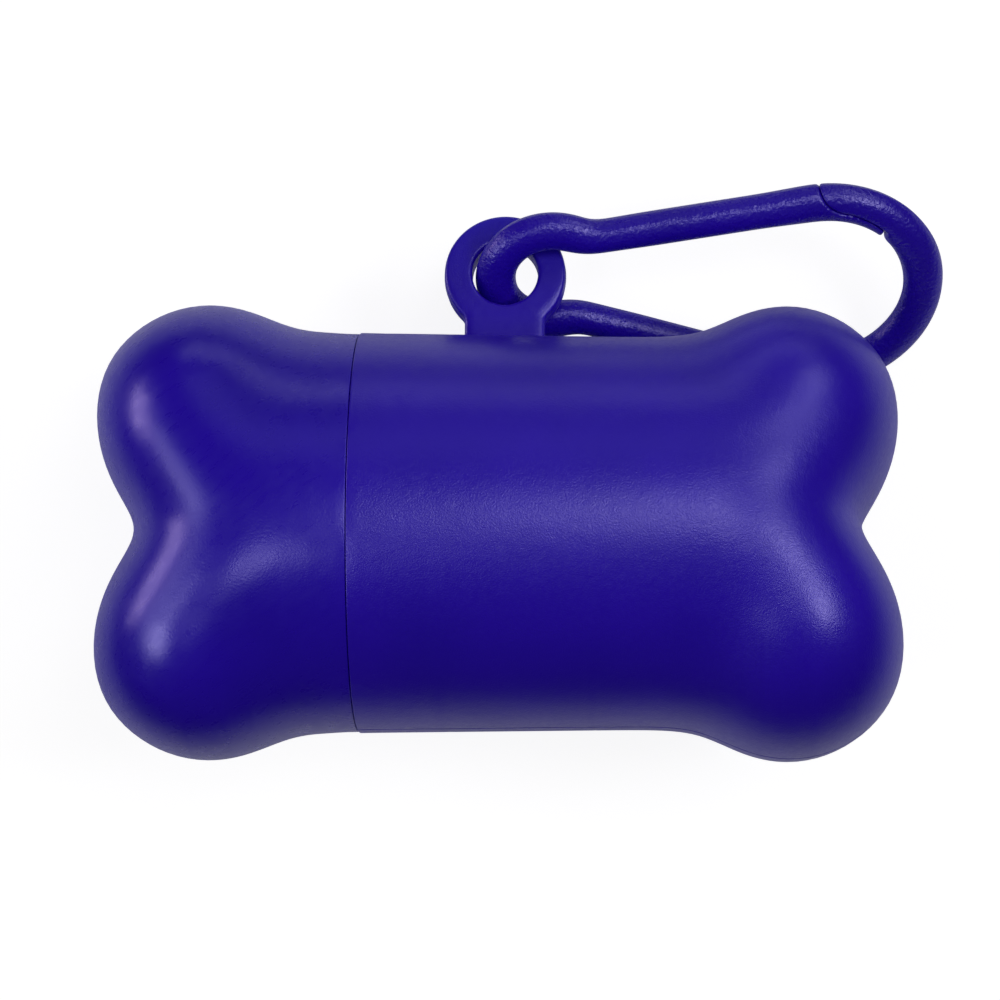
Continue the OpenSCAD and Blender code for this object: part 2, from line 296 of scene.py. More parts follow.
def corners(piece):
    co = np.zeros(len(piece.data.vertices) * 3)
    piece.data.vertices.foreach_get("co", co)
    return co.reshape(-1, 3)


def move_corners(piece, co):
    piece.data.vertices.foreach_set("co", co.ravel())
    piece.data.update()


def turn_faces_out(piece):
    work_on(piece)
    bpy.ops.object.mode_set(mode="EDIT")
    bpy.ops.mesh.select_all(action="SELECT")
    bpy.ops.mesh.normals_make_consistent(inside=False)
    bpy.ops.object.mode_set(mode="OBJECT")


def drawn_from_ball(name, rings, first, last):
    """Draws a ball out into a closed form: its poles go to first and last, its rings to rings."""
    deselect()
    bpy.ops.mesh.primitive_uv_sphere_add(segments=len(rings[0]), ring_count=len(rings) + 1, radius=1)
    piece = bpy.context.object
    piece.name = name
    co = corners(piece)
    n = len(rings[0])
    row = np.rint(np.arccos(np.clip(co[:, 2], -1, 1)) / np.pi * (len(rings) + 1)).astype(int)
    column = np.rint(np.arctan2(co[:, 1], co[:, 0]) / (2 * np.pi) * n).astype(int) % n
    grid = np.array(rings)
    moved = grid[np.clip(row - 1, 0, len(rings) - 1), column]
    moved[row == 0] = first
    moved[row == len(rings) + 1] = last
    move_corners(piece, moved)
    turn_faces_out(piece)
    return piece


def drawn_from_torus(name, grid):
    """Draws a torus out into a tube with walls: grid holds its profile at each angle round it."""
    deselect()
    rows, columns = grid.shape[:2]
    bpy.ops.mesh.primitive_torus_add(major_segments=columns, minor_segments=rows,
                                     major_radius=1, minor_radius=0.25)
    piece = bpy.context.object
    piece.name = name
    co = corners(piece)
    column = np.rint(np.arctan2(co[:, 1], co[:, 0]) / (2 * np.pi) * columns).astype(int) % columns
    out = np.hypot(co[:, 0], co[:, 1]) - 1
    row = np.rint(np.arctan2(co[:, 2], out) / (2 * np.pi) * rows).astype(int) % rows
    move_corners(piece, grid[row, column])
    turn_faces_out(piece)
    return piece


def combine(piece, tool, operation):
    work_on(piece)
    step = piece.modifiers.new("combine", "BOOLEAN")
    step.operation = operation
    step.solver = "EXACT"
    step.object = tool
    bpy.ops.object.modifier_apply(modifier=step.name)
    bpy.data.objects.remove(tool, do_unlink=True)


def soften(piece, chosen, width, segments=3):
    """Rounds the sharp edges whose middle point is chosen."""
    work_on(piece)
    bpy.ops.object.mode_set(mode="EDIT")
    bpy.ops.mesh.select_mode(type="EDGE")
    bpy.ops.mesh.select_all(action="DESELECT")
    bpy.ops.mesh.edges_select_sharp(sharpness=math.radians(sharp_edge))
    bpy.ops.object.mode_set(mode="OBJECT")
    for edge in piece.data.edges:
        if edge.select:
            a, b = (piece.data.vertices[i].co for i in edge.vertices)
            edge.select = bool(chosen((a + b) / 2))
    bpy.ops.object.mode_set(mode="EDIT")
    bpy.ops.mesh.bevel(offset=width, segments=segments, affect="EDGES", clamp_overlap=True)
    bpy.ops.object.mode_set(mode="OBJECT")


def set_down(piece, matrix, smooth):
    """Puts a finished piece in its place, in its mesh, and shades it smooth up to an angle."""
    work_on(piece)
    piece.matrix_world = matrix
    bpy.ops.object.transform_apply(location=True, rotation=True, scale=True)
    bpy.ops.object.shade_smooth_by_angle(angle=math.radians(smooth))
    return piece


# Shells
def rim_inset(side, x):
    """The cap draws in a little towards its rim, so the body's rim stands proud beside it."""
    if side > 0:
        return 0
    t = min(max((x - seam_x + rim_reach) / rim_reach, 0), 1)
    return rim_step * t * t * (3 - 2 * t)


def outer_rings(side):
    """The outside of one shell, from its end to the rounded rim at the seam."""
    rim_x = seam_x + side * seam_gap / 2
    lobe_to = body_lobe_to if side > 0 else cap_lobe_to
    rings = [skin_end(side, angle) for angle in np.arange(end_step, 90.1, end_step)]
    for start, stop, step in ((side * lobe_x, lobe_to, lobe_ring),
                              (lobe_to, rim_x + side * seam_round, barrel_ring)):
        n = math.ceil(abs(stop - start) / step)
        rings += [skin_across(x, 0, rim_inset(side, x)) for x in np.linspace(start, stop, n + 1)[1:]]
    for turn in (75, 60, 45, 30, 15, 0):
        t = math.radians(turn)
        x = rim_x + side * seam_round * (1 - math.cos(t))
        rings.append(skin_across(x, 0, rim_inset(side, x) + seam_round * (1 - math.sin(t))))
    return rings


def inner_rings(side, from_x):
    """The hollow of one shell, from from_x to the last ring before its end."""
    rings = [hollow_ring(x) for x in np.linspace(from_x, side * lobe_x, hollow_rings)]
    angles = np.arange(90 - hollow_end_step, 3, -hollow_end_step)
    return rings + [skin_end(side, angle, end_wall) for angle in angles]


def make_body():
    rim_x = seam_x + seam_gap / 2
    neck_x = seam_x - neck_l
    rings = outer_rings(1)
    rings += [round_ring(rim_x, neck_r + corner), round_ring(rim_x - corner, neck_r)]
    straight = np.linspace(rim_x - 1, neck_x + neck_nose_l, neck_rings)
    rings += [round_ring(x, neck_r) for x in straight]
    rings += [round_ring(neck_x + along, neck_r - inwards) for along, inwards in neck_nose]
    rings += [round_ring(neck_x, chamber_r + corner)]
    rings += inner_rings(1, neck_x + corner)
    body = drawn_from_ball("bone_body", rings, end_point(1), end_point(1, end_wall))
    combine(body, make_eyelet(), "UNION")
    combine(body, make_slot_cutter(), "DIFFERENCE")

    def on_slot(p):
        along = abs(p.x - slot_x) < slot_l / 2 + slot_margin_x
        return along and abs(p.y) < slot_w / 2 + slot_margin_y and p.z < 0

    soften(body, on_slot, slot_edge)
    return set_down(body, rest_matrix(body_roll), shell_smooth)


def make_cap():
    rim_x = seam_x - seam_gap / 2
    rings = outer_rings(-1)
    rings += [round_ring(rim_x, socket_r + corner), round_ring(rim_x - corner, socket_r)]
    straight = np.linspace(rim_x - 1, socket_end + corner, neck_rings)
    rings += [round_ring(x, socket_r) for x in straight]
    rings += [round_ring(socket_end, socket_r - corner), round_ring(socket_end, chamber_r + corner)]
    rings += inner_rings(-1, socket_end - corner)
    cap = drawn_from_ball("bone_cap", rings, end_point(-1), end_point(-1, end_wall))
    return set_down(cap, rest_matrix(body_roll + cap_turn), shell_smooth)


def plate_outline():
    """Outline of eyelet and foot about the hole's centre, and the way outwards at each point."""
    half = foot_w / 2
    low = foot_from - eye_y
    fillet_x = half + foot_fillet
    fillet_y = -math.sqrt((eye_r + foot_fillet) ** 2 - fillet_x ** 2)
    lean = math.atan2(-fillet_y, fillet_x)
    points = [(half, y, 1, 0) for y in np.linspace(low, fillet_y, foot_points)[:-1]]
    for t in np.linspace(math.pi, math.pi - lean, fillet_points):
        points.append((fillet_x + foot_fillet * math.cos(t), fillet_y + foot_fillet * math.sin(t),
                       -math.cos(t), -math.sin(t)))
    for t in np.linspace(-lean, math.pi / 2, ring_points)[1:]:
        points.append((eye_r * math.cos(t), eye_r * math.sin(t), math.cos(t), math.sin(t)))
    points += [(-x, y, -out_x, out_y) for x, y, out_x, out_y in points[-2::-1]]
    points += [(x, low, 0, -1) for x in np.linspace(-half, half, base_points)[2:-2]]
    return np.array(points)


def across_plate(x, y, out_x, out_y):
    """The upper half of a cut through the plate, from its outline in to the hole.

    Its edge is rounded wider towards the foot, but not at the end that is sunk in the barrel."""
    half = eye_t / 2
    low = min(max((-y - eye_slope_from) / eye_slope_over, 0), 1, slope_fade * abs(out_x))
    wide = eye_round + (foot_slope - eye_round) * low * low * (3 - 2 * low)
    cut = [(parting_depth, 0), (0, plate_parting), (eye_draft / 2, half - eye_round)]
    for t in np.radians(np.arange(15, 91, 15)):
        cut.append((eye_draft / 2 + wide * (1 - math.cos(t)), half - eye_round * (1 - math.sin(t))))
    rows = [np.array([x - depth * out_x, y - depth * out_y, z]) for depth, z in cut]
    way = np.array([x, y, 0]) / math.hypot(x, y)
    edge = way * (eye_hole + eye_round) + np.array([0, 0, half])
    rows += [rows[-1] + t * (edge - rows[-1]) for t in (0.2, 0.4, 0.6, 0.8)]
    for t in np.radians(np.arange(0, 91, 15)):
        rows.append(way * (eye_hole + eye_round * (1 - math.sin(t)))
                    + np.array([0, 0, half - eye_round * (1 - math.cos(t))]))
    return rows + [way * eye_hole]


def make_eyelet():
    """Ring and foot as one plate, sunk into the barrel's wall."""
    columns = []
    for x, y, out_x, out_y in plate_outline():
        upper = across_plate(x, y, out_x, out_y)
        columns.append(upper + [p * np.array([1, 1, -1]) for p in upper[-2:0:-1]])
    grid = np.swapaxes(np.array(columns), 0, 1)
    plate = drawn_from_torus("eyelet", grid)
    raise_foot(plate)
    plate.data.transform(Matrix.Translation((eye_x, eye_y, 0)))
    return plate


def raise_foot(plate):
    """Cuts the plate across below its hole and thickens what is under the cut, with a crease."""
    work_on(plate)
    bpy.ops.object.mode_set(mode="EDIT")
    for y in (-foot_drop, -foot_drop - foot_crease):
        bpy.ops.mesh.select_all(action="SELECT")
        bpy.ops.mesh.bisect(plane_co=(0, y, 0), plane_no=(0, 1, 0))
    bpy.ops.object.mode_set(mode="OBJECT")
    co = corners(plate)
    rise = np.clip((-foot_drop - co[:, 1]) / foot_crease, 0, 1)
    co[:, 2] *= 1 + foot_step / (eye_t / 2) * rise
    move_corners(plate, co)


def make_slot_cutter():
    """A bar with round ends that cuts the bag slot into the barrel's far side."""
    near = 0.01
    deselect()
    bpy.ops.mesh.primitive_cube_add(size=1, location=(slot_x, 0, -barrel_r))
    cutter = bpy.context.object
    cutter.scale = (slot_l, slot_w, barrel_r)
    bpy.ops.object.transform_apply(location=True, rotation=True, scale=True)

    def upright(p):
        return abs(p.x - slot_x) > slot_l / 2 - near and abs(p.y) > slot_w / 2 - near

    soften(cutter, upright, slot_w / 2 - near, slot_end_segments)
    return cutter


# Clip
slope = math.radians(bar_slope)
bar_off = bend_r - clip_l * math.sin(slope)
bar_way = np.array([math.cos(slope), math.sin(slope)])
bar_side = np.array([-math.sin(slope), math.cos(slope)])
waist_along = math.sqrt((loop_r + waist_r) ** 2 - (bar_off + waist_r) ** 2)
waist_c = bar_side * (bar_off + waist_r) + bar_way * waist_along
root = bar_side * bar_off + bar_way * waist_along
loop_end = math.degrees(math.atan2(waist_c[1], waist_c[0]))
bend_c = np.array([clip_l, 0])
below = np.array([1, -1])


def arc(centre, r, start, stop, widths):
    """Points along an arc of the clip's centre line, with the rod's width at each."""
    n = math.ceil(abs(math.radians(stop - start)) * r / path_step)
    a = np.radians(np.linspace(start, stop, n + 1)[1:])
    w = np.linspace(*widths, n + 1)[1:]
    return np.stack([centre[0] + r * np.cos(a), centre[1] + r * np.sin(a), w], -1)


def bar(start, stop, widths):
    """Points along a straight bar, whose width changes near both of its ends."""
    length = np.linalg.norm(stop - start)
    along = np.linspace(0, length, math.ceil(length / path_step) + 1)[1:]
    places = [0, bar_taper, length - bar_taper, length]
    w = np.interp(along, places, [widths[0], bar_w, bar_w, widths[1]])
    return np.concatenate([start + (along / length)[:, None] * (stop - start), w[:, None]], 1)


def on_bend(angle):
    """The point of the big bend's centre line at an angle, in degrees."""
    a = math.radians(angle)
    return bend_c + bend_r * np.array([math.cos(a), math.sin(a)])


def clip_path():
    """The clip's centre line from its lip, along the gate, round the loop and back to the nose.

    Its curves run into each other softly, as in the moulding."""
    bend_end = 90 + bar_slope
    gate_end = on_bend(bend_end)
    wide, slim = rod_bend_w, waist_w
    line = np.concatenate([
        arc(bend_c, bend_r, path_from, bend_end, (wide, wide)),
        bar(gate_end, root, (wide, slim)),
        arc(waist_c, waist_r, 270 + bar_slope, 180 + loop_end, (slim, wide)),
        arc((0, 0), loop_r, loop_end, 360 - loop_end, (wide, wide)),
        arc(waist_c * below, waist_r, 180 - loop_end, 90 - bar_slope, (wide, slim)),
        bar(root * below, gate_end * below, (slim, wide)),
        arc(bend_c, bend_r, -bend_end, path_to, (wide, wide))])
    reach_of_blend = round(3 * path_blend / path_step)
    offsets = np.arange(-reach_of_blend, reach_of_blend + 1) * path_step
    weight = np.exp(-(offsets / path_blend) ** 2 / 2)
    weight /= weight.sum()
    return np.stack([np.convolve(line[:, i], weight, "valid") for i in range(3)], -1)


line = clip_path()
run = np.concatenate([[0], np.cumsum(np.linalg.norm(np.diff(line[:, :2], axis=0), axis=1))])
heading = np.unwrap(np.arctan2(*np.gradient(line[:, :2], axis=0)[:, ::-1].T))
half_way = len(run) // 2
joint_at = run[np.argmin(np.linalg.norm(line[:half_way, :2] - root, axis=1))] + joint_past_root


def run_at(angle, last=False):
    """How far along the path the bend's given angle is, on its first or its last pass."""
    gap = np.linalg.norm(line[:, :2] - on_bend(angle), axis=1)
    other_pass = slice(None, half_way) if last else slice(half_way, None)
    gap[other_pass] = np.inf
    return run[np.argmin(gap)]


def soft_max(a, b, k):
    """The greater of two values, led over softly where they are about equal."""
    h = np.clip(0.5 + (a - b) / (2 * k), 0, 1)
    return b + h * (a - b) + k * h * (1 - h)


def beyond_nose(x, y):
    """Distance outside the nose's share of the bend: a round tip and a hook over the lip."""
    round_tip = np.hypot(x - notch[0], y - notch[1]) - notch_r
    hook = np.maximum(lip_arc_r - np.hypot(x - lip_arc[0], y - lip_arc[1]), lip_arc_from - x)
    return np.minimum(np.minimum(round_tip, hook), lip_end - x)


def rod_form(at, across, up, keep, soft):
    """Distance outside the rod in its section at a place along the path."""
    x, y, w = (np.interp(at, run, line[:, i]) for i in range(3))
    way = np.interp(at, run, heading)
    half = w / 2 + rod_ridge * np.exp(-(up / rod_ridge_half) ** 2)
    a = np.stack([across / half, up / (rod_t / 2)], -1)
    b = np.stack([across / half ** 2, up / (rod_t / 2) ** 2], -1)
    k = np.linalg.norm(a, axis=-1)
    oval = k * (k - 1) / np.maximum(np.linalg.norm(b, axis=-1), 1e-9)
    if keep is None:
        return oval
    return soft_max(oval, keep(x - across * math.sin(way), y + across * math.cos(way)), soft)


def room(at, keep, soft):
    """The kept stretch across the middle of the rod at a place along the path."""
    across = np.linspace(-rod_bend_w / 2, rod_bend_w / 2, room_points)
    inside = across[rod_form(at, across, 0 * across, keep, soft) < 0]
    return (inside[0], inside[-1]) if len(inside) > 1 else None


def rod_ring(at, keep=None, soft=None):
    """A ring round the rod, or round what is kept of it, at a place along the path."""
    low, high = room(at, keep, soft)
    middle, half = (low + high) / 2, (high - low) / 2 + rod_margin
    rise = np.linspace(0, rod_t / 2, rise_points)
    tall = rise[rod_form(at, middle + 0 * rise, rise, keep, soft) < 0].max() + rod_margin
    ridge = np.array([-8, -4, 0, 4, 8])
    side = np.linspace(17, 163, 17)
    a = np.radians(np.concatenate([ridge, side, 180 + ridge, 180 + side]))
    near, far = np.zeros(len(a)), np.full(len(a), 4.0)
    for _ in range(rod_halvings):
        mid = (near + far) / 2
        form = rod_form(at, middle + mid * half * np.cos(a), mid * tall * np.sin(a), keep, soft)
        near, far = np.where(form < 0, mid, near), np.where(form < 0, far, mid)
    across, up = middle + near * half * np.cos(a), near * tall * np.sin(a)
    x, y = np.interp(at, run, line[:, 0]), np.interp(at, run, line[:, 1])
    way = np.interp(at, run, heading)
    return np.stack([x - across * math.sin(way), y + across * math.cos(way), up], -1)


def last_room(inside, outside, keep, soft):
    """The place along the path at which the kept part of the rod comes to its end."""
    for _ in range(tip_halvings):
        mid = (inside + outside) / 2
        kept = room(mid, keep, soft)
        there = kept and kept[1] - kept[0] > least_room
        inside, outside = (mid, outside) if there else (inside, mid)
    return inside


def make_frame():
    """The clip's small loop, spine, big bend and nose."""
    shared = run_at(nose_from, last=True)
    there, gone = run_at(nose_there, last=True), run_at(nose_gone, last=True)
    tip = last_room(there, gone, beyond_nose, nose_round)
    rings = [rod_ring(at) for at in np.arange(joint_at, shared, rod_step)]
    eased = shared + (tip - shared) * np.sin(np.linspace(tip_ease, math.pi / 2, tip_rings))
    rings += [rod_ring(at, beyond_nose, nose_round) for at in eased]
    piece = drawn_from_ball("clip_hook", rings, rings[0].mean(0), rings[-1].mean(0))
    return set_down(piece, clip_matrix(), rod_smooth)


def make_gate():
    """The clip's straight bar and its lip, which goes on from the frame by the small loop."""
    def lip(x, y):
        return np.maximum(lip_play - beyond_nose(x, y), x - lip_end + lip_short)

    shared = run_at(90 + bar_slope) + lip_from
    tip = last_room(run_at(lip_there), run_at(lip_gone), lip, lip_round)
    turn = np.linspace(0, math.pi / 2 - tip_ease, tip_rings)
    eased = tip + (shared - tip) * (1 - np.cos(turn))
    rings = [rod_ring(at, lip, lip_round) for at in eased]
    plain = np.linspace(shared, joint_at, math.ceil((joint_at - shared) / rod_step) + 1)
    rings += [rod_ring(at) for at in plain]
    piece = drawn_from_ball("clip_bar", rings, rings[0].mean(0), rings[-1].mean(0))
    return set_down(piece, clip_matrix(), rod_smooth)


# Roll of bags
def rounded_tube(low_r, high_r, length, round_by, steps):
    """Profile of a tube: x and radius of its points, round the four rounded corners in turn."""
    half = length / 2 - round_by
    inner, outer = low_r + round_by, high_r - round_by
    corners_of_tube = ((half, outer, 0), (half, inner, 270), (-half, inner, 180), (-half, outer, 90))
    points = []
    for x, r, start in corners_of_tube:
        for t in np.radians(np.arange(start + 90, start - 1, -30)):
            points.append((x + round_by * math.cos(t), r + round_by * math.sin(t)))
        if start == 0:
            points += [(half + round_by, r) for r in np.linspace(outer, inner, steps)[1:-1]]
        if start == 180:
            points += [(-half - round_by, r) for r in np.linspace(inner, outer, steps)[1:-1]]
    return np.array(points)


def wound_grid(profile, columns, ripple, flap):
    """A profile carried round the X axis, with layered ends and the free edge of its last turn."""
    chance = np.random.default_rng(7)
    layers = chance.uniform(-1, 1, len(profile))
    angle = np.linspace(0, 2 * np.pi, columns, endpoint=False)
    x = profile[:, 0][:, None] - np.sign(profile[:, 0])[:, None] * ripple * np.abs(layers)[:, None]
    outermost = profile[:, 1] > profile[:, 1].max() - flap_within
    r = profile[:, 1][:, None] - flap * (1 - angle / (2 * np.pi))[None, :] * outermost[:, None]
    x = x + 0 * angle[None, :]
    return np.stack([x, r * np.cos(angle), r * np.sin(angle)], -1)


def make_roll():
    profile = rounded_tube(core_r + film_play, roll_r, roll_l, film_round, film_layers)
    grid = wound_grid(profile, film_columns, film_ragged, film_flap)
    roll = drawn_from_torus("film_roll", grid)
    roll.data.transform(Matrix.Translation((roll_x, 0, 0)))
    return set_down(roll, Matrix.Translation((0, 0, -roll_drop * MM)) @ rest_matrix(0), roll_smooth)


def make_core():
    profile = rounded_tube(core_r - core_wall, core_r, roll_l, card_round, card_layers)
    core = drawn_from_torus("card_core", wound_grid(profile, card_columns, card_ragged, 0))
    core.data.transform(Matrix.Translation((roll_x, 0, 0)))
    return set_down(core, Matrix.Translation((0, 0, -roll_drop * MM)) @ rest_matrix(0), roll_smooth)


# Materials
class Finish:
    """A material's nodes, measured in millimetres of the piece's own coordinates."""

    def __init__(self, name):
        self.material = bpy.data.materials.new(name)
        self.material.use_nodes = True
        self.tree = self.material.node_tree
        self.shader = self.tree.nodes["Principled BSDF"]
        place = self.tree.nodes.new("ShaderNodeTexCoord")
        self.place = place.outputs["Object"]

    def link(self, a, b):
        self.tree.links.new(a, b)

    def mapped(self, scale=(1, 1, 1), turn=(0, 0, 0)):
        node = self.tree.nodes.new("ShaderNodeMapping")
        node.vector_type = "TEXTURE"
        node.inputs["Scale"].default_value = [MM / s for s in scale]
        node.inputs["Rotation"].default_value = [math.radians(t) for t in turn]
        self.link(self.place, node.inputs["Vector"])
        return node.outputs["Vector"]

    def noise(self, scale, detail, stretch=(1, 1, 1), turn=(0, 0, 0)):
        """A cloudy pattern with scale waves in a millimetre, which can be stretched and turned."""
        node = self.tree.nodes.new("ShaderNodeTexNoise")
        node.inputs["Scale"].default_value = scale
        node.inputs["Detail"].default_value = detail
        self.link(self.mapped(stretch, turn), node.inputs["Vector"])
        return node.outputs["Fac"]

    def between(self, value, low, high, from_low=0.3, from_high=0.7):
        """Carries a value over to the range low to high. A pattern lies mostly from 0.3 to 0.7."""
        node = self.tree.nodes.new("ShaderNodeMapRange")
        node.inputs["From Min"].default_value = from_low
        node.inputs["From Max"].default_value = from_high
        node.inputs["To Min"].default_value = low
        node.inputs["To Max"].default_value = high
        self.link(value, node.inputs["Value"])
        return node.outputs["Result"]

    def colours(self, value, low, high):
        node = self.tree.nodes.new("ShaderNodeMix")
        node.data_type = "RGBA"
        node.inputs["A"].default_value = (*low, 1)
        node.inputs["B"].default_value = (*high, 1)
        self.link(value, node.inputs["Factor"])
        return node.outputs["Result"]

    def part(self, axis):
        node = self.tree.nodes.new("ShaderNodeSeparateXYZ")
        self.link(self.place, node.inputs["Vector"])
        return node.outputs[axis]

    def scaled(self, value, by):
        node = self.tree.nodes.new("ShaderNodeMath")
        node.operation = "MULTIPLY"
        node.inputs[1].default_value = by
        self.link(value, node.inputs[0])
        return node.outputs["Value"]

    def blend_colour(self, under, over, share):
        """Lays one colour over another, in the share given, and paints the piece with it."""
        node = self.tree.nodes.new("ShaderNodeMix")
        node.data_type = "RGBA"
        self.link(share, node.inputs["Factor"])
        self.link(under, node.inputs["A"])
        self.link(over, node.inputs["B"])
        self.tone = node.outputs["Result"]
        self.link(self.tone, self.shader.inputs["Base Color"])

    def bump(self, height, distance, onto=None):
        """Raises the surface by a pattern, distance millimetres high, on top of another bump."""
        node = self.tree.nodes.new("ShaderNodeBump")
        node.inputs["Distance"].default_value = distance * MM
        node.inputs["Strength"].default_value = 1
        self.link(height, node.inputs["Height"])
        if onto:
            self.link(onto, node.inputs["Normal"])
        return node.outputs["Normal"]

    def put_on(self, piece):
        piece.data.materials.clear()
        piece.data.materials.append(self.material)


def blue_plastic(name, low, high):
    """Deep blue plastic: its gloss is bluish face on and white at a flat angle."""
    f = Finish(name)
    f.shader.inputs["IOR"].default_value = 1.55
    f.shader.inputs["Specular IOR Level"].default_value = 0.9
    f.shader.inputs["Specular Tint"].default_value = gloss_tint
    f.tone = f.colours(f.between(f.noise(0.09, 3), 0, 1), low, high)
    f.link(f.tone, f.shader.inputs["Base Color"])
    return f


def body_plastic():
    """Satin skin with the mould's fine grain. The thin eyelet is painted bluer: painted light
    shining through it.
    """
    f = blue_plastic("body plastic, satin", *body_blues)
    # Painted light: towards the eyelet the colour turns bluer, standing in for light shining through
    # the thin plastic
    glow = f.between(f.part("Y"), 0, 1, through_light_from, through_light_to)
    through_light = f.colours(glow, (0, 0, 0), through_light_blue)
    f.blend_colour(f.tone, through_light, f.scaled(glow, through_light_share))
    f.link(f.between(f.noise(2.2, 3), 0.28, 0.36), f.shader.inputs["Roughness"])
    slow = f.bump(f.noise(0.10, 1), 0.05)
    mottle = f.bump(f.noise(0.8, 1), 0.018, onto=slow)
    f.link(f.bump(f.noise(6, 1), 0.022, onto=mottle), f.shader.inputs["Normal"])
    return f


def cap_plastic():
    """Glossier skin, with the slow waves of shrinkage and fine rubbed streaks."""
    f = blue_plastic("cap plastic, semi gloss", *cap_blues)
    rub = f.noise(1.3, 3, (0.35, 1, 1), (0, 0, 40))
    f.link(f.between(rub, 0.26, 0.32), f.shader.inputs["Roughness"])
    slow = f.bump(f.noise(0.13, 1.5), 0.11)
    f.link(f.bump(f.noise(4.5, 1), 0.012, onto=slow), f.shader.inputs["Normal"])
    return f


def rod_plastic():
    """Satin skin with slow waves, fine creases drawn out along the bone, and close pits."""
    f = blue_plastic("clip plastic, pitted", *clip_blues)
    f.link(f.between(f.noise(2.0, 2), 0.25, 0.35), f.shader.inputs["Roughness"])
    slow = f.bump(f.noise(0.35, 1), 0.04)
    creases = f.bump(f.noise(1.8, 1, (0.7, 1, 1)), 0.06, onto=slow)
    f.link(f.bump(f.noise(3.4, 1), 0.06, onto=creases), f.shader.inputs["Normal"])
    return f


def film():
    f = Finish("wound bag film")
    tone = f.colours(f.between(f.noise(0.3, 2), 0, 1), *film_greys)
    f.link(tone, f.shader.inputs["Base Color"])
    f.link(f.between(f.noise(1.2, 2), 0.28, 0.46), f.shader.inputs["Roughness"])
    creases = f.bump(f.noise(0.9, 4, (0.15, 1, 1)), 0.09)
    f.link(creases, f.shader.inputs["Normal"])
    return f


def card():
    f = Finish("rolled card")
    fibres = f.noise(2.4, 5, (0.3, 1, 1), (0, 25, 0))
    tone = f.colours(f.between(fibres, 0, 1), *card_browns)
    f.link(tone, f.shader.inputs["Base Color"])
    f.shader.inputs["Roughness"].default_value = 0.86
    f.link(f.bump(fibres, 0.03), f.shader.inputs["Normal"])
    return f


# The object
body, cap, hook, gate = make_body(), make_cap(), make_frame(), make_gate()
roll, core = make_roll(), make_core()

body_plastic().put_on(body)
cap_plastic().put_on(cap)
clip_finish = rod_plastic()
clip_finish.put_on(hook)
clip_finish.put_on(gate)
film().put_on(roll)
card().put_on(core)

for piece, node, on_body, finish in ((body, "body_shell", "body", "shell_plastic"),
                                     (cap, "cap_shell", "cap", "shell_plastic"),
                                     (hook, "clip_frame", "clip", "clip_plastic"),
                                     (roll, "bag_roll", "roll", "bag_film"),
                                     (core, "roll_core", "roll", "cardboard")):
    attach(piece, on_body)
    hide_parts(node)

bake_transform(gate)
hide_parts("clip_gate")


# Camera, at the photograph's place
camera_place = (0.00647, -0.00304, 0.32741)
camera_right = Vector((0.99957, 0.0017, -0.0295))
camera_up = Vector((-0.00175, 1, 0))
camera_back = Vector((0.0295, 0, 0.9996))
focal_length, sensor_width = 108.87, 36
nearest_seen = 0.01


def place_camera():
    data = bpy.data.cameras.new("camera")
    data.lens = focal_length
    data.sensor_width = sensor_width
    data.clip_start = nearest_seen
    camera = bpy.data.objects.new("camera", data)
    bpy.context.scene.collection.objects.link(camera)
    turn = Matrix((camera_right, camera_up, camera_back)).transposed().to_4x4()
    camera.matrix_world = Matrix.Translation(camera_place) @ turn
    bpy.context.scene.camera = camera


# Light and floor
room_light = 0.04
floor_size = 6
bright_to, dark_from = 0.06, 0.12
# Painted light on the paper the object sees: pale bluish close by, a painted bounce of the object's
# blue light, and near black further out, painted shade that keeps the object's flanks dark
painted_bounce_paper, painted_shade_paper = (0.78, 0.78, 0.95, 1), (0.05, 0.05, 0.05, 1)
shadow_paper, paper_glow = (0.32, 0.32, 0.32, 1), 0.87


def soft_light(name, tilt, turn, distance, size, radiance, colour=(1, 1, 1)):
    """A rectangular soft light that faces the object, tilt degrees down from straight above.

    It is turned from +X towards +Y by turn degrees, and is distance metres away."""
    data = bpy.data.lights.new(name, "AREA")
    data.shape = "RECTANGLE"
    data.size, data.size_y = size
    data.energy = radiance * math.pi * size[0] * size[1]
    data.color = colour
    lamp = bpy.data.objects.new(name, data)
    bpy.context.scene.collection.objects.link(lamp)
    tilt, turn = math.radians(tilt), math.radians(turn)
    across = math.sin(tilt)
    towards = Vector((across * math.cos(turn), across * math.sin(turn), math.cos(tilt)))
    lamp.location = towards * distance
    lamp.rotation_euler = towards.to_track_quat("Z", "Y").to_euler()


def light_room():
    """A faint even light from all round, while the camera sees white."""
    world = bpy.data.worlds.new("room")
    bpy.context.scene.world = world
    world.use_nodes = True
    nodes, link = world.node_tree.nodes, world.node_tree.links.new
    faint = nodes["Background"]
    faint.inputs["Color"].default_value = (1, 1, 1, 1)
    faint.inputs["Strength"].default_value = room_light
    white = nodes.new("ShaderNodeBackground")
    white.inputs["Color"].default_value = (1, 1, 1, 1)
    rays = nodes.new("ShaderNodeLightPath")
    choose = nodes.new("ShaderNodeMixShader")
    link(rays.outputs["Is Camera Ray"], choose.inputs["Fac"])
    link(faint.outputs["Background"], choose.inputs[1])
    link(white.outputs["Background"], choose.inputs[2])
    link(choose.outputs["Shader"], nodes["World Output"].inputs["Surface"])


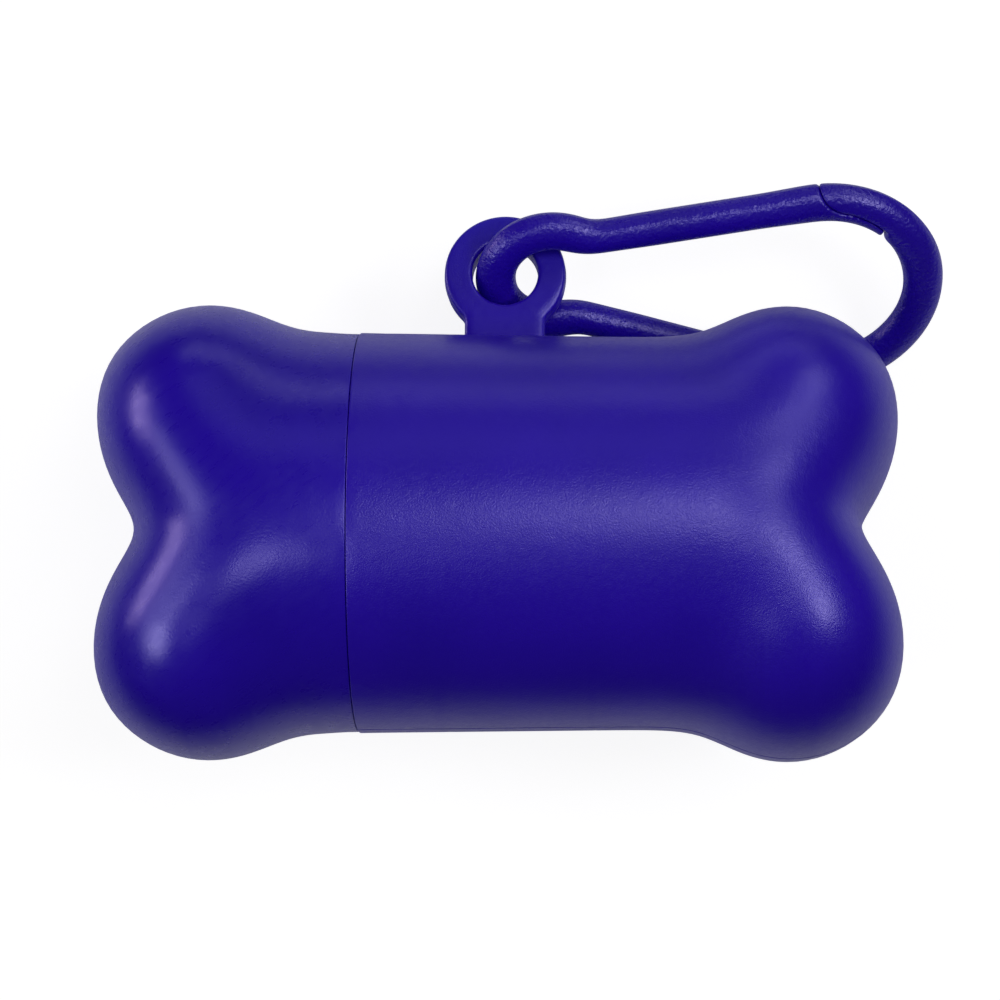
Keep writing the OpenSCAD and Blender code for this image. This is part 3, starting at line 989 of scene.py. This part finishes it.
def near_paper(nodes, link):
    """Paper as the object sees it: pale with a painted blue bounce close by, and dark with painted
    shade further out.
    """
    place = nodes.new("ShaderNodeTexCoord")
    away = nodes.new("ShaderNodeVectorMath")
    away.operation = "LENGTH"
    fade = nodes.new("ShaderNodeMapRange")
    fade.inputs["From Min"].default_value = bright_to
    fade.inputs["From Max"].default_value = dark_from
    tone = nodes.new("ShaderNodeMix")
    tone.data_type = "RGBA"
    tone.inputs["A"].default_value = painted_bounce_paper
    tone.inputs["B"].default_value = painted_shade_paper
    lit = nodes.new("ShaderNodeBsdfDiffuse")
    link(place.outputs["Object"], away.inputs[0])
    link(away.outputs["Value"], fade.inputs["Value"])
    link(fade.outputs["Result"], tone.inputs["Factor"])
    link(tone.outputs["Result"], lit.inputs["Color"])
    return lit.outputs["BSDF"]


def seen_paper(nodes, link):
    """Paper as the camera sees it: white, with the object's shadow."""
    lit = nodes.new("ShaderNodeBsdfDiffuse")
    lit.inputs["Color"].default_value = shadow_paper
    glow = nodes.new("ShaderNodeEmission")
    glow.inputs["Strength"].default_value = paper_glow
    both = nodes.new("ShaderNodeAddShader")
    link(lit.outputs["BSDF"], both.inputs[0])
    link(glow.outputs["Emission"], both.inputs[1])
    return both.outputs["Shader"]


def white_paper():
    paper = bpy.data.materials.new("white paper")
    paper.use_nodes = True
    nodes, link = paper.node_tree.nodes, paper.node_tree.links.new
    nodes.clear()
    rays = nodes.new("ShaderNodeLightPath")
    choose = nodes.new("ShaderNodeMixShader")
    surface = nodes.new("ShaderNodeOutputMaterial")
    link(rays.outputs["Is Camera Ray"], choose.inputs["Fac"])
    link(near_paper(nodes, link), choose.inputs[1])
    link(seen_paper(nodes, link), choose.inputs[2])
    link(choose.outputs["Shader"], surface.inputs["Surface"])
    return paper


def lay_floor():
    deselect()
    bpy.ops.mesh.primitive_plane_add(size=floor_size)
    floor = bpy.context.object
    floor.name = "floor"
    floor.data.materials.append(white_paper())
    return floor


place_camera()
soft_light("right box", 42, 12, 0.45, (0.20, 0.18), 3.1)
soft_light("right box, middle", 39, 4, 0.45, (0.08, 0.08), 6.0)
soft_light("right box, back", 60, 50, 0.45, (0.20, 0.14), 2.0)
soft_light("top box, right", 15, 50, 0.30, (0.06, 0.12), 4.6)
soft_light("top box, left", 20, 210, 0.45, (0.09, 0.09), 4.6)
soft_light("left box", 54, 198, 0.45, (0.15, 0.13), 4.6)
soft_light("left box, far", 62, 182, 0.45, (0.20, 0.12), 1.6)
soft_light("left window", 82, 165, 0.45, (0.20, 0.12), 3.8, (1.0, 0.82, 0.92))
soft_light("back wall", 84, 88, 0.45, (0.42, 0.09), 0.9)
soft_light("fill, back", 50, 95, 0.45, (0.30, 0.15), 0.3)
light_room()
lay_floor()

bpy.context.scene.view_settings.view_transform = "Standard"
